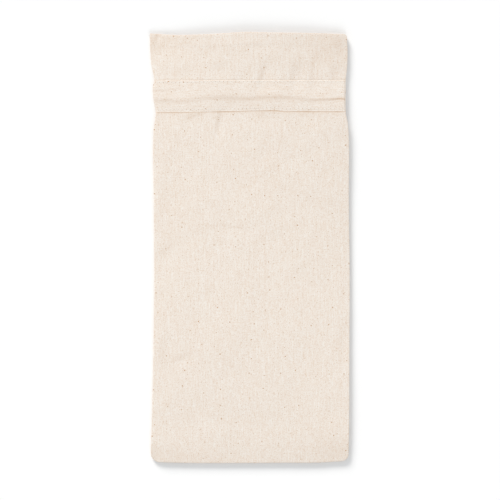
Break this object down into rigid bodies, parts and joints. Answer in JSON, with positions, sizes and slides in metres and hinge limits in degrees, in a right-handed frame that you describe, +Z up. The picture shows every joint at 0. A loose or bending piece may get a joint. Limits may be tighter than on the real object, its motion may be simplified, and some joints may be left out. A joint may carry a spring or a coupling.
{
  "type": "bottle bag",
  "caption": "Tall flat bottle bag of natural cotton, lying empty, with an open hemmed mouth and a drawstring casing strip sewn across the front.",
  "frame": {"origin": "centre of the bag's underside, on the surface that it lies on", "axes": "+Y from the bottom seam to the mouth, +X across the bag to the right as seen from above with the mouth at the top, +Z up out of the front panel"},
  "size_m": [0.1618, 0.35, 0.0089],
  "materials": {
    "calico": "unbleached plain-weave cotton with slubs and seed flecks"
  },
  "bodies": {
    "root": {"front_panel": "calico", "back_panel": "calico", "casing_strip": "calico"}
  },
  "joints": []
}
